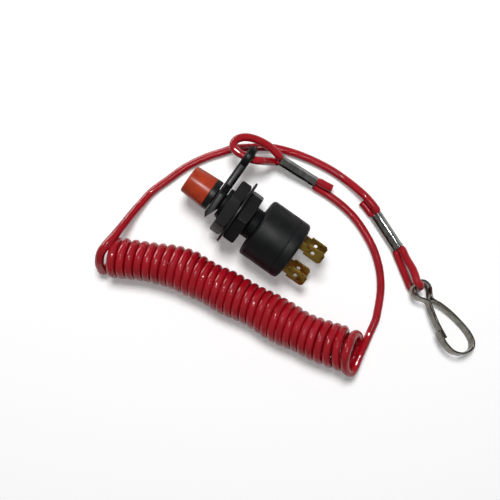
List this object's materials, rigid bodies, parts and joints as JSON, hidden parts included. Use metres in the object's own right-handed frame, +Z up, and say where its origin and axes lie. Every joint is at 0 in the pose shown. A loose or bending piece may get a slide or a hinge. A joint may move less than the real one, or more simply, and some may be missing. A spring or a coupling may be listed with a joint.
{
  "type": "engine kill switch with lanyard",
  "caption": "Panel-mounted push-button kill switch held open by a forked clip-in key, with a coiled cord, crimped ferrules, a snap hook and flat tab terminals.",
  "frame": {"origin": "middle of the underside of the switch with its key fitted, on the surface it lies on", "axes": "+X along the switch from the button to the terminals, +Y along the key to its eye, +Z up from the surface"},
  "size_m": [0.183, 0.1102, 0.034],
  "materials": {
    "cap": "orange-red, moulded",
    "plunger": "black, satin",
    "key": "black, satin",
    "nut": "black, satin",
    "housing": "black, satin",
    "washer": "black",
    "seal": "matt",
    "terminal": "stamped",
    "carrier": "ivory",
    "screw": "bright",
    "bridge": "stamped",
    "spring": "drawn wire",
    "cord": "red, glossy",
    "nickel": "nickel plated"
  },
  "bodies": {
    "switch": {"switch_body": "housing", "terminal_base": "housing", "panel_washer": "washer", "front_nut": "nut", "rear_nut": "nut", "shaft_seal": "seal", "run_terminal_right": "terminal", "run_terminal_left": "terminal", "kill_terminal_right": "terminal", "kill_terminal_left": "terminal", "run_bridge": "bridge", "run_contact_spring": "spring", "return_spring": "spring", "lanyard_coil": "cord", "lanyard_key_run": "cord", "lanyard_hook_run": "cord"},
    "plunger": {"button_cap": "cap", "plunger": "plunger", "contact_carrier": "carrier", "carrier_screw": "screw", "kill_bridge": "bridge", "kill_contact_spring": "spring"},
    "key": {"lanyard_key": "key", "lanyard_key_loop": "cord", "key_ferrule": "nickel", "lanyard_hook_loop": "cord", "hook_ferrule": "nickel", "snap_hook": "nickel"}
  },
  "joints": [
    {"name": "button_slide", "type": "slide", "parent": "switch", "child": "plunger", "axis": [-0.9987, 0, 0.051], "range_m": [0, 0.0012], "stiffness_N_per_m": 800, "springref_m": -0.008, "deforming": ["return_spring", "run_contact_spring"]},
    {"name": "key_slide", "type": "slide", "parent": "switch", "child": "key", "axis": [0, 1, 0], "range_m": [0, 0.02]}
  ]
}
